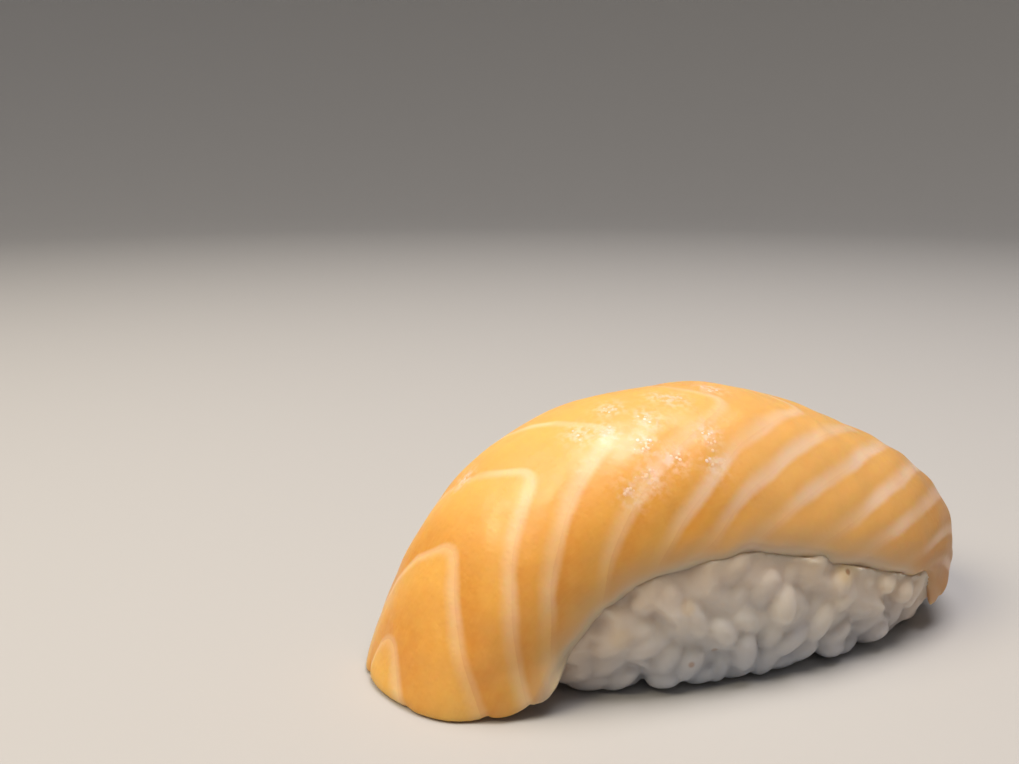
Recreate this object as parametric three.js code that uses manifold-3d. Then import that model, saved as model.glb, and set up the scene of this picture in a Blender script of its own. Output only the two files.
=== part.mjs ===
// Salmon nigiri: a bias-cut slice of raw salmon draped over a hand-pressed block of rice.
// Millimetres, +Z up. +X runs along the length, from the near end of the slice, which hangs
// down to the board, to the far end, which hangs clear of it. -Y is the front.
import * as THREE from 'three';
import { mergeVertices } from 'three/addons/utils/BufferGeometryUtils.js';
import Module from 'manifold-3d';

const { clamp, degToRad, lerp } = THREE.MathUtils;

// The slice's crest line, seen from the front: two curves that meet level at the top.
const CREST_HEIGHT = 31;
const NEAR_END = { x: -39.5, height: 0, slope: degToRad(71), pull: 20.7, crestPull: 25.3 };
const FAR_END = { x: 35.9, height: 12, slope: degToRad(81), pull: 8.7, crestPull: 7.5 };

// How far each side of the slice reaches out and drops, how far round it wraps, and how much
// of that wrap each end loses.
const FRONT_SIDE = {
  reach: 15.3, drop: 15.2, wrap: degToRad(87), nearLoss: -0.05, farLoss: 0.12, nearFlatness: 0,
};
const BACK_SIDE = {
  reach: 13.5, drop: 13.4, wrap: degToRad(85.5), nearLoss: 0.78, farLoss: 0.25, nearFlatness: 0.53,
};
const NEAR_NARROWING = 0.18;
const FAR_NARROWING = 0.13;
const NARROWING_POWER = 2.5;
const END_LIMIT = 1.1;
// The sides hang square to the run of the crest line over this far each way.
const HANG_SPAN = 8;

// The bias cut slants both ends, and the near front corner is rounded off.
const NEAR_SLANT = 0.6;
const FAR_SLANT = 8;
const CORNER_ROUNDING = 6.5;
const CORNER_START = 0.35;

// Thick along the crest, thin along the long edges and at both feathered ends.
const SLICE_THICKNESS = 5.4;
const EDGE_THICKNESS = 1.8;
const END_THINNING = 0.5;
const SLICE_STEPS = { along: 42, across: 18 };
// The least length of arc between the crest line and a long edge.
const EDGE_ARC = 15;

// The rice: a rounded block, widest a little above its flat foot. The foot's size is a share
// of the widest size.
const RICE = {
  x: 3.6, y: -1.8, halfLength: 31.3, halfWidth: 14.5, height: 28, widestHeight: 8, footShare: 0.87,
};
const PLAN_SQUARENESS = 2.3;
const SHOULDER_SQUARENESS = 0.8;
const RICE_STEPS = { around: 60, down: 30 };
// Two crossed ripples, about a grain long, make the rice's surface uneven.
const RIPPLE_HEIGHT = 0.55;
const CROSS_RIPPLE_HEIGHT = 0.44;
const RIPPLE_LENGTH = 6.2;
const RIPPLE_SWAY = 1.3;

// Clearance between the slice and the rice, and between the slice's near end and the board.
const GAP = 0.3;
// How far outside the slice the cut into the rice reaches.
const CUT_REACH = 9;

const spine = new THREE.CurvePath();
const crest = new THREE.Vector2(0, CREST_HEIGHT);
const nearFoot = new THREE.Vector2(NEAR_END.x, NEAR_END.height);
const farFoot = new THREE.Vector2(FAR_END.x, FAR_END.height);
spine.add(new THREE.CubicBezierCurve(
  nearFoot,
  new THREE.Vector2(Math.cos(NEAR_END.slope), Math.sin(NEAR_END.slope))
    .multiplyScalar(NEAR_END.pull).add(nearFoot),
  new THREE.Vector2(-NEAR_END.crestPull, CREST_HEIGHT),
  crest,
));
spine.add(new THREE.CubicBezierCurve(
  crest,
  new THREE.Vector2(FAR_END.crestPull, CREST_HEIGHT),
  new THREE.Vector2(-Math.cos(FAR_END.slope), Math.sin(FAR_END.slope))
    .multiplyScalar(FAR_END.pull).add(farFoot),
  farFoot,
));
const SPINE_LENGTH = spine.getLength();

// The point at a distance along the crest line, straight on past its ends.
function spineAt(distance) {
  const u = clamp(distance / SPINE_LENGTH, 0, 1);
  return spine.getPointAt(u).addScaledVector(spine.getTangentAt(u), distance - u * SPINE_LENGTH);
}

// Where the slice starts and stops, for a place across it from -1 (front) to +1 (back).
function sliceEnds(across) {
  const corner = clamp((-across - CORNER_START) / (1 - CORNER_START), 0, 1);
  return {
    near: -NEAR_SLANT * across + CORNER_ROUNDING * corner ** 2,
    far: SPINE_LENGTH - FAR_SLANT * across,
  };
}

// A point on the slice's outer surface moved inwards by depth.
function drapePoint(distance, across, depth) {
  const point = spineAt(distance);
  const along = spineAt(distance + HANG_SPAN).sub(spineAt(distance - HANG_SPAN)).normalize();
  const toEnd = 2 * distance / SPINE_LENGTH - 1;
  const isNear = toEnd < 0;
  const end = Math.min(Math.abs(toEnd), END_LIMIT);
  const side = across < 0 ? FRONT_SIDE : BACK_SIDE;
  const narrowing = 1 - (isNear ? NEAR_NARROWING : FAR_NARROWING) * end ** NARROWING_POWER;
  const flattening = isNear ? 1 - side.nearFlatness * end ** 2 : 1;
  const wrap = side.wrap * (1 - (isNear ? side.nearLoss : side.farLoss) * end ** 3);
  const turn = wrap * Math.abs(across);
  const angle = Math.min(turn, Math.PI / 2);
  const reach = side.reach * narrowing;
  const drop = side.drop * narrowing * flattening;
  const outward = new THREE.Vector2(drop * Math.sin(angle), reach * Math.cos(angle)).normalize();
  const y = reach * Math.sin(angle) - depth * outward.x;
  const sunk = drop * (1 - Math.cos(angle) + turn - angle) + depth * outward.y;
  return new THREE.Vector3(
    point.x + along.y * sunk,
    Math.sign(across) * y,
    Math.max(point.y - along.x * sunk, GAP),
  );
}

function sliceThickness(u, across) {
  const middle = 1 - Math.abs(across) ** 3;
  const inner = 1 - END_THINNING * Math.abs(2 * u - 1) ** 5;
  return lerp(EDGE_THICKNESS, SLICE_THICKNESS, middle) * inner;
}

// A sheet that follows the slice, from raise outside its outer face to clearance below its
// inner face, and past its edges by clearance too.
function sliceGeometry(raise, clearance) {
  const { along, across } = SLICE_STEPS;
  const geometry = new THREE.BoxGeometry(1, 1, 1, along, across, 1);
  const vertices = geometry.getAttribute('position');
  for (let i = 0; i < vertices.count; i += 1) {
    const u = vertices.getX(i) + 0.5;
    const width = 2 * vertices.getY(i);
    const ends = sliceEnds(width);
    const wider = width * (1 + clearance / EDGE_ARC);
    const isOuter = vertices.getZ(i) > 0;
    const depth = isOuter ? -raise : sliceThickness(u, width) + clearance;
    const distance = lerp(ends.near - clearance, ends.far + clearance, u);
    const place = drapePoint(distance, wider, depth);
    vertices.setXYZ(i, place.x, place.y, place.z);
  }
  return geometry;
}

function relief(x, y, z) {
  const k = 2 * Math.PI / RIPPLE_LENGTH;
  const ripple = Math.sin(k * x + RIPPLE_SWAY * Math.sin(0.4 * k * z)) * Math.cos(0.9 * k * z + 0.7);
  const crossRipple = Math.sin(0.62 * k * (x + y) + 2.1) * Math.sin(0.7 * k * (z - y) + 0.4);
  return RIPPLE_HEIGHT * ripple + CROSS_RIPPLE_HEIGHT * crossRipple;
}

function riceGeometry() {
  const geometry = new THREE.SphereGeometry(1, RICE_STEPS.around, RICE_STEPS.down);
  geometry.rotateX(Math.PI / 2);
  const vertices = geometry.getAttribute('position');
  const footCosine = RICE.footShare ** (1 / SHOULDER_SQUARENESS);
  const reachBelow = RICE.widestHeight / Math.sqrt(1 - footCosine ** 2);
  for (let i = 0; i < vertices.count; i += 1) {
    const direction = new THREE.Vector3().fromBufferAttribute(vertices, i);
    const around = Math.atan2(direction.y, direction.x);
    const lengthwise = Math.abs(Math.cos(around)) ** PLAN_SQUARENESS;
    const crosswise = Math.abs(Math.sin(around)) ** PLAN_SQUARENESS;
    const outline = (lengthwise + crosswise) ** (-1 / PLAN_SQUARENESS);
    const plan = Math.hypot(direction.x, direction.y) ** SHOULDER_SQUARENESS * outline;
    const rise = direction.z > 0 ? RICE.height - RICE.widestHeight : reachBelow;
    const z = Math.max(RICE.widestHeight + rise * direction.z, 0);
    const x = RICE.halfLength * plan * Math.cos(around);
    const y = RICE.halfWidth * plan * Math.sin(around);
    const bump = z > 0 ? 1 + relief(x, y, z) / RICE.halfWidth : 1;
    vertices.setXYZ(i, RICE.x + x * bump, RICE.y + y * bump, z);
  }
  return geometry;
}

const manifold = await Module();
manifold.setup();

function toSolid(geometry) {
  const bare = geometry.clone();
  bare.deleteAttribute('normal');
  bare.deleteAttribute('uv');
  const merged = mergeVertices(bare, 1e-4);
  return new manifold.Manifold(new manifold.Mesh({
    numProp: 3,
    vertProperties: new Float32Array(merged.getAttribute('position').array),
    triVerts: new Uint32Array(merged.getIndex().array),
  }));
}

function toGeometry(solid) {
  const mesh = solid.getMesh();
  const geometry = new THREE.BufferGeometry();
  geometry.setAttribute('position', new THREE.BufferAttribute(mesh.vertProperties, 3));
  geometry.setIndex(new THREE.BufferAttribute(mesh.triVerts, 1));
  geometry.computeVertexNormals();
  return geometry;
}

function salmonSlice() {
  const flesh = new THREE.MeshStandardMaterial({ color: 0xf0a050, roughness: 0.3, metalness: 0 });
  const slice = new THREE.Mesh(toGeometry(toSolid(sliceGeometry(0, 0))), flesh);
  slice.name = 'salmon_slice';
  return slice;
}

function riceBlock() {
  const rice = new THREE.MeshStandardMaterial({ color: 0xd8d0c4, roughness: 0.45, metalness: 0 });
  const room = toSolid(sliceGeometry(CUT_REACH, GAP));
  const block = new THREE.Mesh(toGeometry(toSolid(riceGeometry()).subtract(room)), rice);
  block.name = 'rice_block';
  return block;
}

const nigiri = new THREE.Group();
nigiri.add(salmonSlice(), riceBlock());

// The origin is on the board, under the middle of the whole.
const middle = new THREE.Box3().setFromObject(nigiri).getCenter(new THREE.Vector3());
nigiri.position.set(-middle.x, -middle.y, 0);

export default nigiri;
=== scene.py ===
import math

import bpy
import numpy as np
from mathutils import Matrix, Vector
from mathutils.bvhtree import BVHTree
from mathutils.kdtree import KDTree


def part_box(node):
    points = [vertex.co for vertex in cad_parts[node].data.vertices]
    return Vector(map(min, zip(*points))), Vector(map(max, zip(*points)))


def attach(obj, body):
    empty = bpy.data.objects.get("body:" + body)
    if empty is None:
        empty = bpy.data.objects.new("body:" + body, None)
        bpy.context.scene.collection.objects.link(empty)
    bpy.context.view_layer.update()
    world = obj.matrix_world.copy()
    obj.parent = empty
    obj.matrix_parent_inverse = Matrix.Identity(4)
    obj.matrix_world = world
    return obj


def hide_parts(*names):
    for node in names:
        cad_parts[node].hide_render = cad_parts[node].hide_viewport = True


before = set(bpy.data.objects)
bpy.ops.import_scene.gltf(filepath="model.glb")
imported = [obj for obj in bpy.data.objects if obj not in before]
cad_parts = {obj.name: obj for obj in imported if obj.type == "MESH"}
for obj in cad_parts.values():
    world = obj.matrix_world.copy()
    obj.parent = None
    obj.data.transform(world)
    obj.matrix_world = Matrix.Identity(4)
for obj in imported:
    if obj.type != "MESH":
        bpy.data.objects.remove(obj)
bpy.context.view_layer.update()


# ---- Pressed rice ----
# A small block of cooked short-grain rice, pressed to an oval in the hand. Whole grains stand
# every way all over it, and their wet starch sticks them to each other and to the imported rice
# inside. The fish stains the grains near it a warm tan.

MM = 0.001

# A plump grain, how much its length, width and thickness vary, and how it is bent and dented.
GRAIN_LENGTH = 4.9
GRAIN_WIDTH = 3.5
GRAIN_THICKNESS = 3.2
SIZE_SPREADS = (0.45, 0.18, 0.15)
GRAIN_BLUNTNESS = 0.65
GRAIN_BEND = 0.2
DENT_DEPTH = 0.05
DENT_LENGTH = 3.0
GRAIN_ROUND = 18
GRAIN_RINGS = 12

# How closely the grains crowd each other, and which way they turn on the block, in radians
# from level.
GRAIN_TRIES = 26000
CROWDING = 0.72
SMOOTHED_WITHIN = 2.2
NEARLY_UP = (0.35, 0.2, 1.0)
UPRIGHT_TURN = 1.3
TURN_SPREAD = 0.55
TURN_SWAY = 0.5
SWAY_LENGTH = 11.0
TIPPED_OUT = 0.12
SUNK = (-0.15, 0.2)
LOWEST_GRAIN = 0.05

# Grains lie on the open sides of the block and a little way in under the fish. They stand out
# most round the foot. Near the fish they are flatter, and the fish presses them in over the
# far half of the block.
COVERED_WITHIN = 1.6
TUCKED_UNDER = 4.5
UPPER_INSET = 0.5
FOOT_INSET = 2.0
FOOT_FROM = 9.0
PRESSED_IN = 0.5
PRESSED_FROM = -10.0
PRESSED_FULLY_FROM = 4.0
LOWEST_INSIDE = 0.35
STARCH_DETAIL = 0.3
STARCH_SOFTENING = 2
STAIN_REACH = 6.0

RICE_WHITE = (0.66, 0.64, 0.60, 1)
RICE_GREY = (0.54, 0.55, 0.57, 1)
# Painted shade: the foot colour is painted over the bottom of the rice, darker and bluer.
RICE_FOOT_SHADE = (0.38, 0.42, 0.49, 1)
FISH_STAIN = (0.72, 0.51, 0.32, 1)
STAIN_STRENGTH = 0.85
BRAN_BROWN = (0.30, 0.13, 0.04, 1)
OIL_YELLOW = (0.66, 0.44, 0.16, 1)

rice_random = np.random.default_rng(11)


def cad_surface(node):
    """A CAD solid's surface in millimetres, with its coinciding corners joined."""
    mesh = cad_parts[node].data
    places = np.array([v.co for v in mesh.vertices]) / MM
    mesh.calc_loop_triangles()
    faces = np.array([t.vertices for t in mesh.loop_triangles])
    _, first, joined = np.unique(places.round(3), axis=0, return_index=True, return_inverse=True)
    return places[first], joined.ravel()[faces]


def unit(vectors):
    return vectors / np.maximum(np.linalg.norm(vectors, axis=-1, keepdims=True), 1e-9)


def outward(places, faces):
    """The outward direction at each corner of a closed surface."""
    a, b, c = (places[faces[:, i]] for i in range(3))
    cross = np.cross(b - a, c - a)
    total = np.zeros_like(places)
    for i in range(3):
        np.add.at(total, faces[:, i], cross)
    return unit(total)


def spread_points(places, faces, count):
    """Evenly spread random points on a surface, with the outward direction at each."""
    a, b, c = (places[faces[:, i]] for i in range(3))
    cross = np.cross(b - a, c - a)
    area = np.linalg.norm(cross, axis=1)
    chosen = rice_random.choice(len(faces), count, p=area / area.sum())
    first, second = rice_random.random((2, count))
    root = np.sqrt(first)
    shares = np.stack([1 - root, root * (1 - second), root * second], axis=1)
    return (places[faces[chosen]] * shares[:, :, None]).sum(axis=1), unit(cross[chosen])


def tree_of(points):
    tree = KDTree(len(points))
    for i, point in enumerate(points):
        tree.insert(point, i)
    tree.balance()
    return tree


def averaged(points, directions, within):
    """Each direction averaged with those of its neighbours."""
    tree = tree_of(points)
    return unit(np.array([
        directions[[i for _, i, _ in tree.find_range(point, within)]].mean(axis=0)
        for point in points
    ]))


def slow_noise(x, y, z, size, seed):
    """A smooth uneven field between about -1 and 1, with swells this size."""
    random = np.random.default_rng(seed)
    total = np.zeros(np.shape(x))
    for _ in range(7):
        direction = random.normal(size=3)
        direction *= 2 * math.pi / (size * random.uniform(0.75, 1.5) * np.linalg.norm(direction))
        turn = random.uniform(0, 2 * math.pi)
        total = total + np.sin(direction[0] * x + direction[1] * y + direction[2] * z + turn)
    return total / 3.5


block_places, block_faces = cad_surface("rice_block")
fish_tree = BVHTree.FromPolygons(*(part.tolist() for part in cad_surface("salmon_slice")))


def is_too_close(apart, axes):
    """Whether a grain turned this way crowds another that is this far off."""
    reach = CROWDING * np.array([GRAIN_LENGTH, GRAIN_WIDTH, GRAIN_THICKNESS])
    return sum(((apart * axes[i]).sum(axis=-1) / reach[i]) ** 2 for i in range(3)) < 1


def lay_grains(candidates):
    """The place on the block of each grain, and its length, width and outward directions."""
    points, outs = spread_points(block_places, block_faces, candidates)
    outs = averaged(points, outs, SMOOTHED_WITHIN)
    is_covered = np.array([
        fish_tree.ray_cast(Vector(p), Vector(d), COVERED_WITHIN)[0] is not None
        for p, d in zip(points, outs)
    ])
    open_tree = tree_of(points[~is_covered])
    is_wanted = np.array([open_tree.find(p)[2] < TUCKED_UNDER for p in points])
    points, outs = points[is_wanted], outs[is_wanted]

    turn = UPRIGHT_TURN + rice_random.normal(0, TURN_SPREAD, len(points))
    turn = turn + TURN_SWAY * slow_noise(*points.T, SWAY_LENGTH, seed=8)
    level = unit(np.cross(outs, NEARLY_UP))
    lengths = level * np.cos(turn)[:, None] + np.cross(outs, level) * np.sin(turn)[:, None]
    lengths = unit(lengths + outs * rice_random.normal(0, TIPPED_OUT, len(points))[:, None])
    axes = np.stack([lengths, unit(np.cross(outs, lengths)), outs])
    kept = []
    for i in range(len(points)):
        apart = points[kept] - points[i]
        if not (is_too_close(apart, axes[:, i]) | is_too_close(apart, axes[:, kept])).any():
            kept.append(i)
    return points[kept], axes[:, kept]


def grain_shape():
    """One plump grain of unit half-length, half-width and half-thickness, as a closed mesh."""
    around = np.arange(GRAIN_ROUND) * 2 * math.pi / GRAIN_ROUND
    rings = np.linspace(0, math.pi, GRAIN_RINGS + 1)[1:-1]
    size = np.sin(rings)[:, None] ** GRAIN_BLUNTNESS
    sides = np.stack([
        -np.cos(rings)[:, None] + 0 * around, size * np.cos(around), size * np.sin(around),
    ], axis=-1)
    places = np.vstack([[-1, 0, 0], sides.reshape(-1, 3), [1, 0, 0]])
    here = np.arange(GRAIN_ROUND)
    beside = (here + 1) % GRAIN_ROUND
    faces = []
    for ring in range(len(rings) - 1):
        low, high = 1 + ring * GRAIN_ROUND, 1 + (ring + 1) * GRAIN_ROUND
        faces += [(high + a, high + b, low + b, low + a) for a, b in zip(here, beside)]
    last = 1 + (len(rings) - 1) * GRAIN_ROUND
    faces += [(1 + a, 1 + b, 0) for a, b in zip(here, beside)]
    faces += [(last + b, last + a, len(places) - 1) for a, b in zip(here, beside)]
    return places, faces


def fish_stain(places):
    """From 1 where the fish touches the rice down to 0 well away from it."""
    apart = np.array([fish_tree.find_nearest(Vector(p))[3] for p in places])
    return np.exp(-apart / STAIN_REACH)


def pressed_in(places):
    """How far the fish has pushed the rice in."""
    far_half = np.clip((places[:, 0] - PRESSED_FROM) / (PRESSED_FULLY_FROM - PRESSED_FROM), 0, 1)
    return PRESSED_IN * far_half * fish_stain(places)


def shape_grains(points, axes):
    """Every grain's corners, a little uneven in size, bent, and dented by its neighbours."""
    shape, faces = grain_shape()
    count = len(points)
    sizes = zip((GRAIN_LENGTH, GRAIN_WIDTH, GRAIN_THICKNESS), SIZE_SPREADS)
    half = np.stack([rice_random.normal(size, spread, count) for size, spread in sizes]) / 2
    bend = rice_random.uniform(-GRAIN_BEND, GRAIN_BEND, count)[:, None]
    sink = rice_random.uniform(*SUNK, count) + pressed_in(points)
    centres = points - axes[2] * (half[2] + sink)[:, None]
    along, across, up = (half[i][:, None] * shape[:, i] for i in range(3))
    across = across + bend * (1 - shape[:, 0] ** 2)
    places = centres[:, None] + sum(
        part[..., None] * axis[:, None] for part, axis in zip((along, across, up), axes))
    dents = slow_noise(*np.moveaxis(places, -1, 0), DENT_LENGTH, seed=21)
    places = places + DENT_DEPTH * dents[..., None] * unit(places - centres[:, None])
    places[..., 2] += np.maximum(LOWEST_GRAIN - places[..., 2].min(axis=1), 0.0)[:, None]
    starts = np.arange(count) * len(shape)
    all_faces = [tuple(int(start + i) for i in face) for start in starts for face in faces]
    return places.reshape(-1, 3), all_faces


def make_piece(name, places, faces, values):
    """A smooth object from corners in millimetres, with one number at each for every value."""
    mesh = bpy.data.meshes.new(name)
    mesh.from_pydata((places * MM).tolist(), [], faces)
    for label, numbers in values.items():
        attribute = mesh.attributes.new(label, "FLOAT", "POINT")
        attribute.data.foreach_set("value", np.asarray(numbers, dtype=np.float32))
    mesh.shade_smooth()
    piece = bpy.data.objects.new(name, mesh)
    bpy.context.scene.collection.objects.link(piece)
    return piece


def press_rice():
    """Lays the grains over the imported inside, and lets the starch join them where they touch."""
    grain_points, grain_axes = lay_grains(GRAIN_TRIES)
    grains, grain_faces = shape_grains(grain_points, grain_axes)
    foot = np.clip(1 - block_places[:, 2] / FOOT_FROM, 0, 1)
    inset = (UPPER_INSET + (FOOT_INSET - UPPER_INSET) * foot) * (1 - fish_stain(block_places))
    inset = inset + pressed_in(block_places)
    inside = block_places - inset[:, None] * outward(block_places, block_faces)
    inside[:, 2] = np.maximum(inside[:, 2], LOWEST_INSIDE)
    faces = [tuple(face) for face in block_faces.tolist()]
    faces += [tuple(i + len(inside) for i in face) for face in grain_faces]
    loose = make_piece("loose_rice", np.vstack([inside, grains]), faces, {})
    join = loose.modifiers.new("join", "REMESH")
    join.mode = "VOXEL"
    join.voxel_size = STARCH_DETAIL * MM
    soften = loose.modifiers.new("soften", "SMOOTH")
    soften.factor = 0.5
    soften.iterations = STARCH_SOFTENING
    graph = bpy.context.evaluated_depsgraph_get()
    pressed = bpy.data.meshes.new_from_object(loose.evaluated_get(graph))
    bpy.data.objects.remove(loose)

    places = np.array([v.co for v in pressed.vertices]) / MM
    faces = [tuple(p.vertices) for p in pressed.polygons]
    grain_tones = rice_random.random(len(grain_points))
    corners_each = len(grains) // len(grain_points)
    grain_tree = tree_of(grains)
    tone = [grain_tones[grain_tree.find(place)[1] // corners_each] for place in places]
    return make_piece("rice_grains", places, faces, {"tone": tone, "fish_stain": fish_stain(places)})


rice_grains = press_rice()


# Both the fish and the rice are wet all over. The film of moisture lies in slow ripples, and
# in places it gathers in tiny beads. Sizes and heights are in millimetres.
def build_moist_film():
    film = bpy.data.node_groups.new("moist_film", "ShaderNodeTree")
    for name in ("Bead Size", "Bead Height", "Ripple Size", "Ripple Height"):
        film.interface.new_socket(name=name, in_out="INPUT", socket_type="NodeSocketFloat")
    film.interface.new_socket(name="Height", in_out="OUTPUT", socket_type="NodeSocketFloat")
    nodes, links = film.nodes, film.links
    given = nodes.new("NodeGroupInput")
    result = nodes.new("NodeGroupOutput")
    place = nodes.new("ShaderNodeTexCoord")

    def math_node(operation, *values):
        node = nodes.new("ShaderNodeMath")
        node.operation = operation
        for socket, value in zip(node.inputs, values):
            if isinstance(value, bpy.types.NodeSocket):
                links.new(value, socket)
            else:
                socket.default_value = value
        return node.outputs[0]

    beads = nodes.new("ShaderNodeTexVoronoi")
    links.new(place.outputs["Object"], beads.inputs["Vector"])
    links.new(math_node("DIVIDE", 1 / MM, given.outputs["Bead Size"]), beads.inputs["Scale"])
    domes = nodes.new("ShaderNodeMapRange")
    domes.interpolation_type = "SMOOTHSTEP"
    domes.inputs["From Min"].default_value = 0.5
    domes.inputs["From Max"].default_value = 0.05
    links.new(beads.outputs["Distance"], domes.inputs["Value"])
    bead_height = math_node("MULTIPLY", domes.outputs["Result"], given.outputs["Bead Height"])

    ripples = nodes.new("ShaderNodeTexNoise")
    ripples.inputs["Detail"].default_value = 2.0
    links.new(place.outputs["Object"], ripples.inputs["Vector"])
    links.new(math_node("DIVIDE", 1 / MM, given.outputs["Ripple Size"]), ripples.inputs["Scale"])
    ripple_height = math_node("MULTIPLY", ripples.outputs["Fac"], given.outputs["Ripple Height"])
    links.new(math_node("ADD", bead_height, ripple_height), result.inputs["Height"])
    return film


moist_film = build_moist_film()


class Maker:
    """Adds nodes to one material and links them."""

    def __init__(self, name):
        self.material = bpy.data.materials.new(name)
        self.material.use_nodes = True
        self.nodes = self.material.node_tree.nodes
        self.links = self.material.node_tree.links
        self.shader = self.nodes["Principled BSDF"]

    def put(self, kind, inputs=(), **settings):
        node = self.nodes.new(kind)
        for name, value in settings.items():
            setattr(node, name, value)
        for name, value in dict(inputs).items():
            self.feed(node.inputs[name], value)
        return node

    def feed(self, socket, value):
        if isinstance(value, bpy.types.NodeSocket):
            self.links.new(value, socket)
        else:
            socket.default_value = value

    def finish(self, **values):
        """Sets the shader's own sockets. Underscores stand for the spaces in their names."""
        for name, value in values.items():
            self.feed(self.shader.inputs[name.replace("_", " ")], value)

    def field(self, name):
        return self.put("ShaderNodeAttribute", attribute_name=name).outputs["Fac"]

    def math(self, operation, *values):
        return self.put("ShaderNodeMath", dict(enumerate(values)), operation=operation).outputs[0]

    def ramp(self, value, low, high, start=0.0, end=1.0):
        return self.put("ShaderNodeMapRange", {
            "Value": value, "From Min": low, "From Max": high, "To Min": start, "To Max": end,
        }, interpolation_type="SMOOTHSTEP").outputs["Result"]

    def blend(self, share, first, second):
        mix = self.put("ShaderNodeMix", data_type="RGBA")
        for i, value in ((0, share), (6, first), (7, second)):
            self.feed(mix.inputs[i], value)
        return mix.outputs[2]

    def noise(self, vector, size, detail=2.0):
        """Uneven from 0 to 1, with swells of this size in millimetres."""
        return self.put("ShaderNodeTexNoise", {
            "Vector": vector, "Scale": 1 / (size * MM), "Detail": detail,
        }).outputs["Fac"]

    def spot(self, vector, middle, radius):
        """A round soft spot, 1 in its middle and 0 outside the radius in millimetres."""
        apart = self.put("ShaderNodeVectorMath", {0: vector, 1: middle}, operation="DISTANCE")
        return self.ramp(apart.outputs["Value"], radius * MM, 0.35 * radius * MM)

    def moist(self, **sizes):
        """The normal of the moist film. Sizes are the film's own inputs, in millimetres."""
        film = self.put("ShaderNodeGroup", node_tree=moist_film)
        for name, size in sizes.items():
            self.feed(film.inputs[name.replace("_", " ")], size)
        bump = self.put("ShaderNodeBump", {
            "Strength": 1.0, "Distance": MM, "Height": film.outputs["Height"],
        })
        return bump.outputs["Normal"]


# Flecks of bran and drops of the fish's oil on the front of the rice: how far along it and how
# high each is, its radius in millimetres, its colour and its strength.
IN_FRONT = -30.0
RICE_MARKS = [
    (13, 12, 2.2, OIL_YELLOW, 0.4),
    (13, 12, 0.5, BRAN_BROWN, 0.75),
    (-7, 11, 1.3, OIL_YELLOW, 0.25),
    (-14, 8, 1.8, OIL_YELLOW, 0.2),
    (-6, 4, 0.5, BRAN_BROWN, 0.5),
    (-3, 5, 0.5, BRAN_BROWN, 0.45),
]
rice_tree = BVHTree.FromPolygons(
    [v.co / MM for v in rice_grains.data.vertices], [p.vertices for p in rice_grains.data.polygons])


def cooked_rice():
    make = Maker("pressed_rice")
    place = make.put("ShaderNodeTexCoord").outputs["Object"]
    clouds = make.math("MULTIPLY", make.noise(place, 3.3, 3.0), 0.5)
    tone = make.math("MULTIPLY_ADD", make.field("tone"), 0.6, clouds)
    height = make.put("ShaderNodeSeparateXYZ", {"Vector": place}).outputs["Z"]
    colour = make.blend(tone, RICE_GREY, RICE_WHITE)
    # Painted shade: the rice is painted darker and bluer towards its foot.
    colour = make.blend(make.ramp(height, 9.0 * MM, 0.5 * MM), colour, RICE_FOOT_SHADE)
    stain = make.math("MULTIPLY", make.field("fish_stain"), STAIN_STRENGTH)
    colour = make.blend(stain, colour, FISH_STAIN)
    for along, height, radius, stain_colour, strength in RICE_MARKS:
        on_rice = rice_tree.ray_cast(Vector((along, IN_FRONT, height)), Vector((0, 1, 0)))[0]
        spot = make.math("MULTIPLY", make.spot(place, on_rice * MM, radius), strength)
        colour = make.blend(spot, colour, stain_colour)
    make.finish(
        Base_Color=colour,
        Normal=make.moist(Bead_Size=0.5, Bead_Height=0.01, Ripple_Size=1.2, Ripple_Height=0.06),
        Roughness=0.42,
        Subsurface_Weight=0.9,
        Subsurface_Radius=(1.0, 0.85, 0.7),
        Subsurface_Scale=4.0 * MM,
        Coat_Weight=0.3,
        Coat_Roughness=0.18,
    )
    return make.material


rice_grains.data.materials.append(cooked_rice())
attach(rice_grains, "root")
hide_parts("rice_block")


# ---- Salmon slice ----
# One slice of raw salmon, cut on the bias from a skinned fillet and laid over the rice by
# hand. The flesh is a row of flakes with a thin pale layer of fat between each two, and the
# cut lays the layers open as chevrons that point to the far end.

slice_low, slice_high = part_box("salmon_slice")

# The crest line from end to end, as it lies over the rice.
CREST_HEIGHT = slice_high.z / MM
NEAR_REACH = 39.5
NEAR_SLOPE = math.radians(71)
NEAR_PULL = 20.7
NEAR_CREST_PULL = 25.3
FAR_REACH = 35.9
FAR_HEIGHT = 12.0
FAR_SLOPE = math.radians(81)
FAR_PULL = 8.7
FAR_CREST_PULL = 7.5

# Front side, then back side: how far it reaches out and drops, how far round it wraps, and
# how much of that wrap each end loses.
SIDES = {
    "reach": (15.3, 13.5),
    "drop": (15.2, 13.4),
    "wrap": (math.radians(87), math.radians(85.5)),
    "near_loss": (-0.05, 0.78),
    "far_loss": (0.12, 0.25),
    "near_flatness": (0.0, 0.53),
}
NEAR_NARROWING = 0.18
FAR_NARROWING = 0.13
NARROWING_POWER = 2.5
END_LIMIT = 1.1
HANG_SPAN = 8.0

# The bias cut slants both ends, and the near front corner is rounded off.
NEAR_SLANT = 0.6
FAR_SLANT = 8.0
CORNER_ROUNDING = 6.5
CORNER_START = 0.35

SLICE_THICKNESS = 5.4
EDGE_THICKNESS = 2.0
END_THINNING = 0.5
FOOT_GAP = 0.3

# Each fat line: how far along the slice its point is, where it meets the front edge, and how
# much its front arm bows towards the near end.
FAT_LINES = [
    (-6, -21, 0.3), (7, -10, 0.25), (19.5, 0.5, 0.15), (31.5, 8.5, 0.1), (41.5, 16, 0.1),
    (56.5, 29, 0.12), (68.5, 41, 0.08), (79, 49, -0.1), (87.5, 59, -0.25), (95, 69.5, -0.35),
    (104, 77.5, -0.4), (113, 86.5, -0.45), (122, 95.5, -0.5), (131, 105, -0.5),
]
FRONT_MEETS = -0.9
BACK_SWEEP = 17.0
BACK_BOW = 0.6

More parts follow.
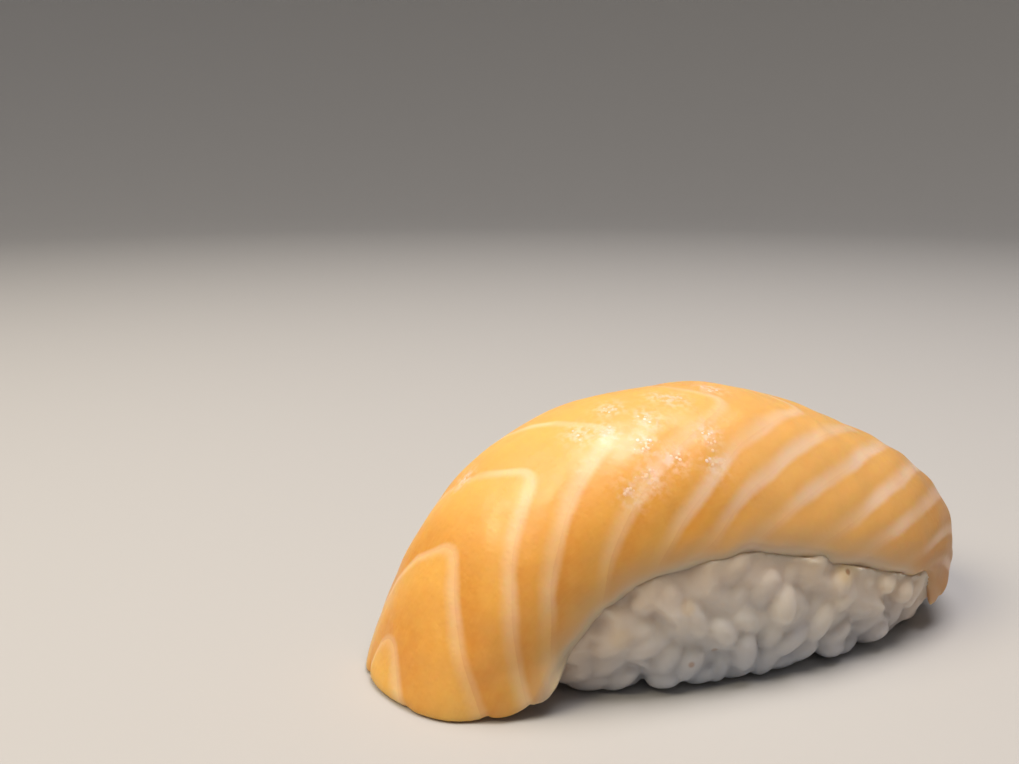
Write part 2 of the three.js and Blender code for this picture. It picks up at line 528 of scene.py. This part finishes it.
# The points lie on a shallow curve in front of the crest: how far across its middle is, how
# far along that is, and how much it bows out at this reach.
POINTS_ACROSS = -0.3
POINTS_MIDDLE = 42.0
POINTS_REACH = 35.0
POINTS_BOW = 0.2
POINTS_LIMIT = 0.35
POINT_SOFTNESS = 0.05

# The flakes swell a little between the fat lines, which notch the two cut ends. Lumps of two
# sizes make both faces uneven.
FLAKE_SWELL = 0.14
END_NOTCH = 1.1
LEAST_FLAKES_PER_MM = 0.03
LUMP_HEIGHT = 0.28
LUMP_LENGTH = 17.0
SMALL_LUMP_SHARE = 0.25
SMALL_LUMP_LENGTH = 4.5

# A free rim is rounded, with its seam this share of the way down, and so are the corners. The
# far front corner is sharper.
RIM_ROUND = 1.5
RIM_DEPTH = 0.35
CORNER_RADIUS = 2.5
FAR_POINT = 0.35

# Where a long edge lies on the rice it comes down to it, or is lifted by it, thins to a
# feather, and is tucked in among the grains a little way past the edge of the solid slice.
# The last few millimetres at the far end hang free.
EDGE_OVERLAP = 0.055
EDGE_WAVER = 0.012
WAVER_LENGTH = 9.0
EDGE_FROM = 0.98
RESTS_FROM = 0.55
HELD_FROM = 0.96
TUCKED_FROM = 0.99
EDGE_TUCK = 0.6
MOST_LIFT = 1.3
MOST_DROP = 1.2
FREE_TIP = 5.0
FEATHER_LENGTH = 5.0
FEATHER_THICKNESS = 0.12
LEAST_THICKNESS = 0.096
RICE_CLEARANCE = 0.06
HELD_SOFTNESS = 0.3

# How far in the rice is felt for, how many times a row's lift is averaged with its
# neighbours', and the steps of the mesh, which crowd towards its borders. One unit across is
# this many millimetres of arc, in front and behind.
PROBE = 4.5
SETTLING = 300
GRAIN_SETTLING = 6
ALONG_STEPS = 250
ACROSS_STEPS = 112
STEP_CROWDING = 0.45
ARC_PER_ACROSS = (23.0, 20.0)

FLESH_DEEP = (0.70, 0.27, 0.022, 1)
FLESH_LIGHT = (0.87, 0.48, 0.10, 1)
# Painted light: the bend colour is a painted warm glow, and the far colour a painted shade.
FLESH_BEND_GLOW = (0.90, 0.51, 0.15, 1)
FLESH_PINK = (0.88, 0.52, 0.19, 1)
FLESH_FAR_SHADE = (0.38, 0.14, 0.03, 1)
FLESH_THIN = (0.66, 0.40, 0.18, 1)
STAINED_RICE = (0.62, 0.48, 0.35, 1)
# The fat's pale colour is painted yellower at the near end, a painted warm light, and pinker past the
# bend, a painted sheen.
FAT_PALE = (0.94, 0.68, 0.43, 1)
FAT_PINK_SHEEN = (0.89, 0.67, 0.51, 1)
FAT_SHARE = (0.62, 0.74)

# One brown speck lies near the end of the third fat line.
SPECK_BROWN = (0.32, 0.10, 0.02, 1)
SPECK_ALONG = 10.5
SPECK_ACROSS = -0.8
SPECK_RADIUS = 0.45

# Moisture gathers in uneven rows of patches in front of the crest, and in a few patches
# elsewhere, each so far along the slice and across it. Over them the flesh is painted with a
# pale pink bloom, a painted sheen of soft glints.
DEW_ROWS = (-0.15, -0.36, -0.55)
DEW_IN_ROW = 4
DEW_FROM = 39.0
DEW_PITCH = 4.0
DEW_STRAYS = (0.4, 0.05)
LONE_DEW = [(56, -0.1), (36, 0.35), (62, 0.3), (25, 0.1)]
DEW_SPREAD = 1.2
DEW_GLINT_PALE = (0.97, 0.78, 0.66, 1)

crest_x = slice_low.x / MM + NEAR_REACH
middle_y = slice_low.y / MM + SIDES["reach"][0]


def bezier(start, start_pull, end_pull, end, steps=400):
    t = np.linspace(0, 1, steps)[:, None]
    s = 1 - t
    return s**3 * start + 3 * s * s * t * start_pull + 3 * s * t * t * end_pull + t**3 * end


def crest_line():
    """Points along the slice's middle, as (x, z), and the distance along it to each."""
    near_foot = np.array([-NEAR_REACH, 0.0])
    far_foot = np.array([FAR_REACH, FAR_HEIGHT])
    crest = np.array([0.0, CREST_HEIGHT])
    near_up = np.array([math.cos(NEAR_SLOPE), math.sin(NEAR_SLOPE)])
    far_up = np.array([-math.cos(FAR_SLOPE), math.sin(FAR_SLOPE)])
    rise = bezier(near_foot, near_foot + NEAR_PULL * near_up, crest - [NEAR_CREST_PULL, 0], crest)
    fall = bezier(crest, crest + [FAR_CREST_PULL, 0], far_foot + FAR_PULL * far_up, far_foot)
    line = np.vstack([rise, fall[1:]])
    steps = np.linalg.norm(np.diff(line, axis=0), axis=1)
    return line, np.concatenate([[0.0], np.cumsum(steps)])


spine, spine_distance = crest_line()
spine_length = spine_distance[-1]


def spine_at(distance):
    """The crest line's points at these distances, straight on past its two ends."""
    inside = np.clip(distance, 0, spine_length)
    x = np.interp(inside, spine_distance, spine[:, 0])
    z = np.interp(inside, spine_distance, spine[:, 1])
    past = distance - inside
    near, far = unit(spine[1] - spine[0]), unit(spine[-1] - spine[-2])
    return (x + np.where(past < 0, near[0], far[0]) * past,
            z + np.where(past < 0, near[1], far[1]) * past)


def drape(distance, across, depth):
    """Places inside the slice: across runs from -1, the front edge, to 1, the back edge."""
    x, z = spine_at(distance)
    x_before, z_before = spine_at(distance - HANG_SPAN)
    x_after, z_after = spine_at(distance + HANG_SPAN)
    run = np.hypot(x_after - x_before, z_after - z_before)
    along_x, along_z = (x_after - x_before) / run, (z_after - z_before) / run

    to_end = 2 * distance / spine_length - 1
    is_near = to_end < 0
    end = np.minimum(np.abs(to_end), END_LIMIT)
    side = {name: np.where(across < 0, *pair) for name, pair in SIDES.items()}
    narrowing = 1 - np.where(is_near, NEAR_NARROWING, FAR_NARROWING) * end**NARROWING_POWER
    flattening = np.where(is_near, 1 - side["near_flatness"] * end**2, 1.0)
    loss = np.where(is_near, side["near_loss"], side["far_loss"]) * end**3
    turn = side["wrap"] * (1 - loss) * np.abs(across)
    angle = np.minimum(turn, math.pi / 2)
    reach = side["reach"] * narrowing
    drop = side["drop"] * narrowing * flattening

    out_side, out_up = drop * np.sin(angle), reach * np.cos(angle)
    size = np.hypot(out_side, out_up)
    out_side, out_up = out_side / size, out_up / size
    y = np.sign(across) * (reach * np.sin(angle) - depth * out_side)
    sunk = drop * (1 - np.cos(angle) + turn - angle) + depth * out_up
    return np.stack([crest_x + x + along_z * sunk, middle_y + y, z - along_x * sunk], axis=-1)


def point_line(distance):
    """How far across the slice the chevrons' points lie."""
    return POINTS_ACROSS + POINTS_BOW * ((distance - POINTS_MIDDLE) / POINTS_REACH) ** 2


def fat_line(number, across):
    """Where one fat line lies along the slice, at each place across it."""
    point, front, bow = FAT_LINES[number]
    at = min(point_line(point), POINTS_LIMIT)
    to_front = np.clip((at - across) / (at - FRONT_MEETS), 0, None)
    to_back = np.clip((across - at) / (1 - at), 0, None)
    front_arm = (point - front) * to_front * (1 + bow * (1 - to_front))
    back_arm = BACK_SWEEP * to_back * (1 + BACK_BOW * (1 - to_back))
    return point - front_arm - back_arm


def flake_number(distance, across):
    """Rises by one from each fat line to the next. Each column of distance is at one across."""
    numbers = np.arange(len(FAT_LINES), dtype=float)
    lines = np.stack([
        sum(fat_line(i, across + shift) for shift in (-POINT_SOFTNESS, 0, POINT_SOFTNESS)) / 3
        for i in range(len(FAT_LINES))
    ], axis=1)
    columns = [np.interp(distance[:, j], lines[j], numbers) for j in range(len(across))]
    return np.stack(columns, axis=1)


def crowded(steps):
    """Steps from -1 to 1 that crowd towards both ends."""
    x = np.linspace(-1, 1, steps)
    return (1 - STEP_CROWDING) * x + STEP_CROWDING * np.sin(x * math.pi / 2)


def rim_round(distance, radius):
    """The height of a quarter circle, from 0 at the rim to 1 at the radius."""
    inside = np.clip(distance / radius, 0, 1)
    return np.sqrt(1 - (1 - inside) ** 2)


def eased(value, low, high):
    """Rises smoothly from 0 at low to 1 at high."""
    share = np.clip((value - low) / (high - low), 0, 1)
    return share**2 * (3 - 2 * share)


def softened(field, times):
    """Averages a grid of numbers with its neighbours, this many times over."""
    for _ in range(times):
        wide = np.pad(field, 1, mode="edge")
        beside = wide[:-2, 1:-1] + wide[2:, 1:-1] + wide[1:-1, :-2] + wide[1:-1, 2:]
        field = 0.5 * field + beside / 8
    return field


def smooth_max(first, second, reach):
    """The higher of two, with a soft change within this reach."""
    share = np.clip(0.5 + (second - first) / (2 * reach), 0, 1)
    return first + (second - first) * share + reach * share * (1 - share)


def rice_level(surface, outs, is_edge):
    """How far the rice stands out of a grid of places, or -PROBE where there is none."""
    level = np.full(surface.shape[:2], -PROBE)
    for spot in zip(*np.nonzero(is_edge)):
        start = Vector(surface[spot] + MOST_LIFT * outs[spot])
        reach = rice_tree.ray_cast(start, Vector(-outs[spot]), PROBE)[3]
        if reach is not None:
            level[spot] = MOST_LIFT - reach
    return level


def spread_high(field):
    """Raises each number in a grid to the highest of its neighbours'."""
    wide = np.pad(field, 1, mode="edge")
    beside = [wide[:-2, 1:-1], wide[2:, 1:-1], wide[1:-1, :-2], wide[1:-1, 2:]]
    return np.max([*beside, field], axis=0)


def resting(rice, across):
    """How far each side of each row rests on rice, from 0 to 1, changing slowly along the slice."""
    share = np.zeros(rice.shape)
    for side in (across < 0, across > 0):
        at_edge = side & (np.abs(across) > EDGE_FROM)
        is_on_rice = rice[:, at_edge].max(axis=1, keepdims=True) > -MOST_DROP - 1
        share[:, side] = softened(is_on_rice.astype(float), SETTLING)
    return share


def edge_lift(lack, across):
    """A lift or a drop that grows towards each long edge and brings the edge to the rice."""
    lift = np.zeros(lack.shape)
    share = eased(np.abs(across), RESTS_FROM, 1.0)
    for side in (across < 0, across > 0):
        at_edge = side & (np.abs(across) > EDGE_FROM)
        at_most = np.clip(lack[:, at_edge].max(axis=1, keepdims=True), -MOST_DROP, MOST_LIFT)
        lift[:, side] = softened(at_most, SETTLING) * share[side]
    return lift


def slice_ends(across):
    """Where the slice starts and stops, at each place across it."""
    corner = np.clip((-across - CORNER_START) / (1 - CORNER_START), 0, 1)
    return -NEAR_SLANT * across + CORNER_ROUNDING * corner**2, spine_length - FAR_SLANT * across


def dew_patches():
    """How far along the slice and across it each patch of moisture lies."""
    random = np.random.default_rng(5)
    stray_along, stray_across = DEW_STRAYS
    patches = []
    for row in DEW_ROWS:
        for i in range(DEW_IN_ROW):
            along = DEW_FROM + DEW_PITCH * (i + random.normal(0, stray_along))
            patches.append((along, row + random.normal(0, stray_across)))
    return patches + LONE_DEW


def closed_sheet(outer, inner):
    """Two grids of places joined along their borders, with the number of each corner kept."""
    rows, columns = outer.shape[:2]
    outer_index = np.arange(rows * columns).reshape(rows, columns)
    inner_index = outer_index + rows * columns
    for edge in (np.s_[0, :], np.s_[-1, :], np.s_[:, 0], np.s_[:, -1]):
        inner_index[edge] = outer_index[edge]
    corners = [(0, 0), (0, 1), (1, 1), (1, 0)]

    def quads(index, order):
        sides = [index[i:rows - 1 + i, j:columns - 1 + j] for i, j in order]
        return np.stack(sides, axis=-1).reshape(-1, 4)

    faces = np.vstack([quads(outer_index, corners[::-1]), quads(inner_index, corners)])
    places = np.vstack([outer.reshape(-1, 3), inner.reshape(-1, 3)])
    used = np.unique(faces)
    renumber = np.zeros(len(places), dtype=int)
    renumber[used] = np.arange(len(used))
    return places[used], renumber[faces].tolist(), used


def build_slice():
    # The grid: how far along the slice and across it each of its points is.
    across = crowded(ACROSS_STEPS) * (1 + EDGE_OVERLAP)
    share = (crowded(ALONG_STEPS) + 1) / 2
    near, far = slice_ends(across)
    to_side = (1 + EDGE_OVERLAP - np.abs(across)) * np.where(across < 0, *ARC_PER_ACROSS)
    corner = CORNER_RADIUS * (1 - rim_round(to_side, CORNER_RADIUS))
    near, far = near + corner, far - corner * np.where(across < 0, FAR_POINT, 1)
    at_ends = flake_number(np.stack([near, far]), across) % 1
    notch = 1 - (4 * at_ends * (1 - at_ends)) ** 0.5
    near = near + END_NOTCH * notch[0]
    far = far - END_NOTCH * notch[1]
    distance = near + (far - near) * share[:, None]
    width = np.broadcast_to(across, distance.shape)
    arc_per_across = np.where(width < 0, *ARC_PER_ACROSS)
    to_edge = np.broadcast_to(to_side, distance.shape)
    thinned = np.clip(to_edge / FEATHER_LENGTH, 0, 1)

    # The flakes, and how closely they follow each other.
    flake = flake_number(distance, across)
    slope_along = np.gradient(flake, axis=0) / np.gradient(distance, axis=0)
    change_across = np.gradient(flake, axis=1) - slope_along * np.gradient(distance, axis=1)
    slope_across = change_across / np.gradient(width * arc_per_across, axis=1)
    flakes_per_mm = np.maximum(np.hypot(slope_along, slope_across), LEAST_FLAKES_PER_MM)

    # The slice by itself: its thickness, its rounded rims and its uneven faces.
    middling = np.maximum(1 - np.abs(width) ** 3, 0)
    thickness = EDGE_THICKNESS + (SLICE_THICKNESS - EDGE_THICKNESS) * middling
    thickness = thickness * (1 - END_THINNING * np.abs(2 * share[:, None] - 1) ** 5)
    waver = slow_noise(distance, 0 * width, 0 * width, WAVER_LENGTH, seed=31)
    wavering = width * (1 + EDGE_WAVER * waver)
    surface = drape(distance, wavering, np.zeros(distance.shape))
    outs = unit(surface - drape(distance, wavering, np.ones(distance.shape)))
    rice = rice_level(surface, outs, (np.abs(width) > RESTS_FROM) & (far - distance > FREE_TIP))
    is_rested = resting(rice, across)
    rim = 1 - (1 - rim_round(to_edge, RIM_ROUND)) * (1 - is_rested)
    rim = rim * rim_round(distance - near, RIM_ROUND) * rim_round(far - distance, RIM_ROUND)
    middle = np.moveaxis(drape(distance, width, thickness / 2), -1, 0)
    lumps = slow_noise(*middle, LUMP_LENGTH, seed=3)
    lumps = lumps + SMALL_LUMP_SHARE * slow_noise(*middle, SMALL_LUMP_LENGTH, seed=4)
    swell = FLAKE_SWELL * (np.sin(math.pi * (flake % 1)) ** 2 - 0.5)
    relief = (swell + LUMP_HEIGHT * lumps) * thinned
    outer_level = relief - thickness * RIM_DEPTH * (1 - rim)
    inner_level = relief * (1 - rim) - thickness * (RIM_DEPTH + (1 - RIM_DEPTH) * rim)

    # The slice on the rice: its edges come to the grains, and its faces stay outside them.
    feather = FEATHER_THICKNESS + (EDGE_THICKNESS - FEATHER_THICKNESS) * thinned
    needed = rice + feather
    outer_level = outer_level + edge_lift(needed - outer_level, across) * is_rested
    on_grains = softened(spread_high(needed), GRAIN_SETTLING)
    held = 1 - eased(np.abs(width), HELD_FROM, 1.0)
    raised = smooth_max(outer_level, on_grains, HELD_SOFTNESS)
    outer_level = outer_level + held * (raised - outer_level)
    tuck = EDGE_TUCK * eased(np.abs(width), TUCKED_FROM, 1 + EDGE_OVERLAP)
    outer_level = outer_level - tuck * is_rested
    inner_level = np.maximum(inner_level, rice + RICE_CLEARANCE)
    inner_level = np.minimum(inner_level, outer_level - LEAST_THICKNESS)

    outer = surface + outs * outer_level[..., None]
    inner = surface + outs * inner_level[..., None]
    places, faces, used = closed_sheet(outer, inner)
    places[:, 2] = np.maximum(places[:, 2], FOOT_GAP)
    apart = [
        np.hypot(distance - along, (width - side) * arc_per_across) for along, side in dew_patches()
    ]
    fields = {
        "dew": np.exp(-0.5 * (np.min(apart, axis=0) / DEW_SPREAD) ** 2),
        "flake": flake, "flakes_per_mm": flakes_per_mm, "along": distance, "across": width,
        "past_point": width - point_line(distance),
        "from_rim": np.minimum(to_edge, np.minimum(distance - near, far - distance)),
    }
    values = {name: np.tile(field.ravel(), 2)[used] for name, field in fields.items()}
    return places, faces, values


def salmon_flesh():
    make = Maker("salmon_flesh")
    place = make.put("ShaderNodeTexCoord").outputs["Object"]
    flake, across, along = make.field("flake"), make.field("across"), make.field("along")
    edgeward = make.math("ABSOLUTE", across)

    # The fat lines: soft on the near side and sharper on the far side, thin on the back arm.
    # They fade towards the edges that lie on the rice, and here and there elsewhere.
    past_line = make.math("SUBTRACT", flake, make.math("ROUND", flake))
    past_line = make.math("DIVIDE", past_line, make.field("flakes_per_mm"))
    past_line = make.math("ADD", past_line, -0.35)
    past_line = make.math("MULTIPLY_ADD", make.noise(place, 3.5, 2.0), 0.7, past_line)
    past_point = make.field("past_point")
    slimness = make.ramp(past_point, -0.05, 0.12, 1.0, 1.9)
    past_line = make.math("MULTIPLY", past_line, slimness)
    line = make.math("MULTIPLY", make.ramp(past_line, -1.9, -0.2), make.ramp(past_line, 1.1, 0.2))
    kept = make.math("MAXIMUM", make.ramp(edgeward, 0.97, 0.72, 0.15, 1.0), make.ramp(along, 20.0, 9.0))
    strength = make.ramp(make.noise(place, 11.0, 1.0), 0.35, 0.6, 0.5, 1.0)
    faint_points = make.math("MULTIPLY", make.ramp(flake, 4.2, 4.8), make.ramp(past_point, -0.35, -0.1))
    shown = make.math("MULTIPLY_ADD", faint_points, -0.4, make.ramp(along, 0.0, 40.0, 0.75, 1.0))
    fat = make.math("MULTIPLY", line, shown)
    fat = make.math("MULTIPLY", fat, make.math("MULTIPLY", kept, strength))
    # Painted light: past the bend the fat is painted stronger and pinker, a painted sheen, and at the
    # near end yellower, a painted warm light.
    fat = make.math("MULTIPLY", fat, make.ramp(along, 36.0, 58.0, *FAT_SHARE))
    fat_colour_and_light = make.blend(make.ramp(along, 36.0, 58.0), FAT_PALE, FAT_PINK_SHEEN)

    # Each flake is painted darkest just past its fat line and lighter towards the next: painted shade
    # that stands in for the swell of the flake.
    into_flake = make.math("FRACT", flake)
    fibre_place = make.put("ShaderNodeCombineXYZ", {
        "X": make.math("MULTIPLY", flake, 1.2), "Y": make.math("MULTIPLY", across, 46.0), "Z": 0.0,
    }).outputs["Vector"]
    fibres = make.put("ShaderNodeTexNoise", {
        "Vector": fibre_place, "Scale": 1.6, "Detail": 4.0,
    }).outputs["Fac"]
    light = make.math("MULTIPLY", fibres, 0.2)
    light = make.math("MULTIPLY_ADD", make.ramp(into_flake, 0.1, 0.85), 0.5, light)
    light = make.math("MULTIPLY_ADD", make.noise(place, 8.0, 3.0), 0.5, light)
    light = make.math("MULTIPLY_ADD", make.noise(place, 1.4, 4.0), 0.5, make.math("ADD", light, -0.25))
    flesh = make.blend(light, FLESH_DEEP, FLESH_LIGHT)

    # The flesh is painted yellower on the near bend, a painted warm glow, and pinker past it. The
    # far end is painted deeper, a painted shade. Thin edges on the rice let it show through.
    glow_in_bend = make.math("MULTIPLY", make.ramp(along, 14.0, 30.0), make.ramp(along, 64.0, 42.0))
    glow_in_bend = make.math("MULTIPLY", glow_in_bend, make.ramp(across, -0.75, -0.2))
    flesh = make.blend(make.math("MULTIPLY", glow_in_bend, 0.75), flesh, FLESH_BEND_GLOW)
    flesh = make.blend(make.ramp(along, 44.0, 60.0, 0.0, 0.5), flesh, FLESH_PINK)
    flesh = make.blend(make.ramp(along, spine_length - 24, spine_length, 0.0, 0.65), flesh, FLESH_FAR_SHADE)
    over_rice = make.ramp(along, spine_length - 6.0, spine_length - 14.0, 0.2, 1.0)
    thin = make.math("MULTIPLY", make.ramp(edgeward, 0.84, 1.0, 0.0, 0.85), over_rice)
    sheer = make.math("MULTIPLY", make.ramp(edgeward, 0.95, 1.03, 0.0, 0.8), over_rice)
    flesh = make.blend(thin, flesh, FLESH_THIN)
    flesh = make.blend(sheer, flesh, STAINED_RICE)

    speck_place = drape(np.array(SPECK_ALONG), np.array(SPECK_ACROSS), np.array(0.0)) * MM
    speck = make.math("MULTIPLY", make.spot(place, speck_place, SPECK_RADIUS), 0.7)
    flesh = make.blend(speck, flesh, SPECK_BROWN)
    flesh = make.blend(fat, flesh, fat_colour_and_light)
    # Painted highlight: a pale pink bloom of soft glints over the patches of moisture.
    painted_glints = make.math("MULTIPLY", make.ramp(make.noise(place, 0.8, 2.0), 0.36, 0.68), 0.6)
    flesh = make.blend(make.math("MULTIPLY", make.field("dew"), painted_glints), flesh, DEW_GLINT_PALE)
    make.finish(
        Base_Color=flesh,
        Normal=make.moist(Bead_Size=0.8, Bead_Height=0.012, Ripple_Size=2.0, Ripple_Height=0.07),
        Roughness=make.ramp(make.noise(place, 9.0, 2.0), 0.3, 0.7, 0.55, 0.4),
        Subsurface_Weight=make.ramp(make.field("from_rim"), 0.3, 4.5, 0.35, 0.75),
        Subsurface_Radius=(1.0, 0.42, 0.14),
        Subsurface_Scale=3.2 * MM,
        Coat_Weight=make.ramp(make.noise(place, 2.2, 2.0), 0.4, 0.65, 0.06, 0.28),
        Coat_Roughness=0.25,
    )
    return make.material


slice_places, slice_faces, slice_values = build_slice()
salmon_slice = make_piece("salmon_slice_cut", slice_places, slice_faces, slice_values)
salmon_slice.data.materials.append(salmon_flesh())
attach(salmon_slice, "root")
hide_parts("salmon_slice")


# ---- Beads of moisture ----
# Water and fat sweat from the cut flesh and stand on it in tiny flat beads. They gather in
# patches in front of the crest and catch the light.

BEADS_IN_PATCH = (14, 26)
PATCH_LENGTH = 0.55
PATCH_WIDTH = 0.02
BEAD_RADIUS = (0.08, 0.26)
LOOSE_BEADS = 60
LOOSE_ALONG = (8, 88)
LOOSE_ACROSS = (-0.75, 0.8)
LOOSE_RADIUS = (0.06, 0.14)
BEAD_AROUND = 12
BEAD_RINGS = 4
BEAD_FLATNESS = 0.25
BEAD_SUNK = 0.04
BEAD_ROOT = 0.1
BEAD_ORANGE = (0.93, 0.60, 0.32, 1)
BEAD_PALE = (0.97, 0.74, 0.60, 1)


def bead_spots(random):
    """Where the beads stand: how far along the slice and across it, and their radius."""
    spots = []
    for along, across in dew_patches():
        for _ in range(random.integers(*BEADS_IN_PATCH)):
            bead_along = along + random.normal(0, PATCH_LENGTH)
            bead_across = across + random.normal(0, PATCH_WIDTH)
            spots.append((bead_along, bead_across, random.uniform(*BEAD_RADIUS)))
    for _ in range(LOOSE_BEADS):
        spots.append([random.uniform(*limits) for limits in (LOOSE_ALONG, LOOSE_ACROSS, LOOSE_RADIUS)])
    return np.array(spots)


def build_beads():
    random = np.random.default_rng(23)
    skin = BVHTree.FromPolygons(slice_places.tolist(), slice_faces)
    spots = bead_spots(random)
    around = np.arange(BEAD_AROUND) * 2 * math.pi / BEAD_AROUND
    places, faces = [], []
    for guess, radius in zip(drape(spots[:, 0], spots[:, 1], np.zeros(len(spots))), spots[:, 2]):
        foot, up = (np.array(part) for part in skin.find_nearest(Vector(guess))[:2])
        side = unit(np.cross(up, [1.0, 0.3, 0.2]))
        fore = np.cross(up, side)
        start = len(places)
        for ring in range(BEAD_RINGS):
            lift = ring / BEAD_RINGS
            reach = radius * math.sqrt(1 - lift**2)
            centre = foot + up * (BEAD_FLATNESS * radius * lift - BEAD_SUNK)
            places += [centre + reach * (math.cos(a) * side + math.sin(a) * fore) for a in around]
        places += [foot - up * BEAD_ROOT, foot + up * (BEAD_FLATNESS * radius - BEAD_SUNK)]
        bottom, top = len(places) - 2, len(places) - 1
        for i in range(BEAD_AROUND):
            j = (i + 1) % BEAD_AROUND
            for ring in range(BEAD_RINGS - 1):
                low, high = start + ring * BEAD_AROUND, start + (ring + 1) * BEAD_AROUND
                faces.append((low + i, low + j, high + j, high + i))
            last = start + (BEAD_RINGS - 1) * BEAD_AROUND
            faces += [(start + j, start + i, bottom), (last + i, last + j, top)]
    return np.array(places), faces


def bead_of_moisture():
    make = Maker("moisture")
    place = make.put("ShaderNodeTexCoord").outputs["Object"]
    cloud = make.ramp(make.noise(place, 1.5, 2.0), 0.3, 0.7)
    make.finish(
        Base_Color=make.blend(cloud, BEAD_ORANGE, BEAD_PALE),
        Roughness=0.4,
        Coat_Weight=0.3,
        Coat_Roughness=0.25,
    )
    return make.material


moisture_beads = make_piece("moisture_beads", *build_beads(), {})
moisture_beads.data.materials.append(bead_of_moisture())
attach(moisture_beads, "root")
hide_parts("salmon_slice")


# ---- Stage ----
# A pale floor that curves up all round into a pale wall, lit by one large soft lamp
# overhead, a warmer one at the near end, and a dim even sky. Sizes here are in metres.

FLOOR_RADIUS = 0.6
WALL_RADIUS = 1.1
WALL_HEIGHT = 1.0
BEND_STEPS = 12
FLOOR_AROUND = 64
FLOOR_COLOUR = (0.50, 0.49, 0.48, 1)
SKY_COLOUR = (0.90, 0.93, 1.0, 1)
LIT_PLACE = Vector((0, 0, 0.02))


def build_floor():
    bend = WALL_RADIUS - FLOOR_RADIUS
    profile = []
    for angle in np.linspace(0, math.pi / 2, BEND_STEPS + 1):
        profile.append((FLOOR_RADIUS + bend * math.sin(angle), bend * (1 - math.cos(angle))))
    profile.append((WALL_RADIUS, WALL_HEIGHT))
    around = np.arange(FLOOR_AROUND) * 2 * math.pi / FLOOR_AROUND
    circle = np.stack([np.cos(around), np.sin(around)], axis=1)
    rings = [
        np.column_stack([radius * circle, np.full(FLOOR_AROUND, height)]) for radius, height in profile
    ]
    beside = [(i, (i + 1) % FLOOR_AROUND) for i in range(FLOOR_AROUND)]
    faces = [(0, 1 + i, 1 + j) for i, j in beside]
    for ring in range(len(rings) - 1):
        low, high = 1 + ring * FLOOR_AROUND, 1 + (ring + 1) * FLOOR_AROUND
        faces += [(low + i, high + i, high + j, low + j) for i, j in beside]
    floor = make_piece("floor", np.vstack([[[0, 0, 0]], *rings]) / MM, faces, {})
    make = Maker("floor")
    make.finish(Base_Color=FLOOR_COLOUR, Roughness=0.9)
    floor.data.materials.append(make.material)


def add_lamp(name, place, size, power, colour):
    light = bpy.data.lights.new(name, "AREA")
    light.shape = "DISK"
    light.size = size
    light.energy = power
    light.color = colour
    lamp = bpy.data.objects.new(name, light)
    lamp.location = place
    lamp.rotation_euler = (LIT_PLACE - Vector(place)).to_track_quat("-Z", "Y").to_euler()
    bpy.context.scene.collection.objects.link(lamp)


build_floor()
add_lamp("overhead", (0.05, -0.02, 0.60), 0.34, 2.9, (1.0, 0.95, 0.95))
add_lamp("near_side", (-0.34, -0.02, 0.44), 0.35, 2.1, (1.0, 0.88, 0.66))
sky = bpy.data.worlds.new("sky")
sky.use_nodes = True
sky.node_tree.nodes["Background"].inputs["Color"].default_value = SKY_COLOUR
sky.node_tree.nodes["Background"].inputs["Strength"].default_value = 0.18
bpy.context.scene.world = sky
bpy.context.scene.view_settings.view_transform = "Standard"


# ---- Camera ----
# Close to the near front corner and a little above the board, as a phone is held.

CAMERA_TURN = math.radians(-19.7)
CAMERA_RISE = math.radians(13.9)
CAMERA_DISTANCE = 111.9
AIM = (-20.3, 7.3, 31.0)
LENS = 33.74

camera_data = bpy.data.cameras.new("camera")
camera_data.lens = LENS
camera_data.sensor_width = 36.0
camera_data.sensor_fit = "HORIZONTAL"
camera_data.clip_start = 0.01
camera = bpy.data.objects.new("camera", camera_data)
bpy.context.scene.collection.objects.link(camera)
back = Vector((
    math.sin(CAMERA_TURN) * math.cos(CAMERA_RISE),
    -math.cos(CAMERA_TURN) * math.cos(CAMERA_RISE),
    math.sin(CAMERA_RISE),
))
aim = Vector((AIM[0] + crest_x, AIM[1] + middle_y, AIM[2]))
camera.location = (aim + back * CAMERA_DISTANCE) * MM
camera.rotation_mode = "QUATERNION"
camera.rotation_quaternion = (-back).to_track_quat("-Z", "Y")
bpy.context.scene.camera = camera
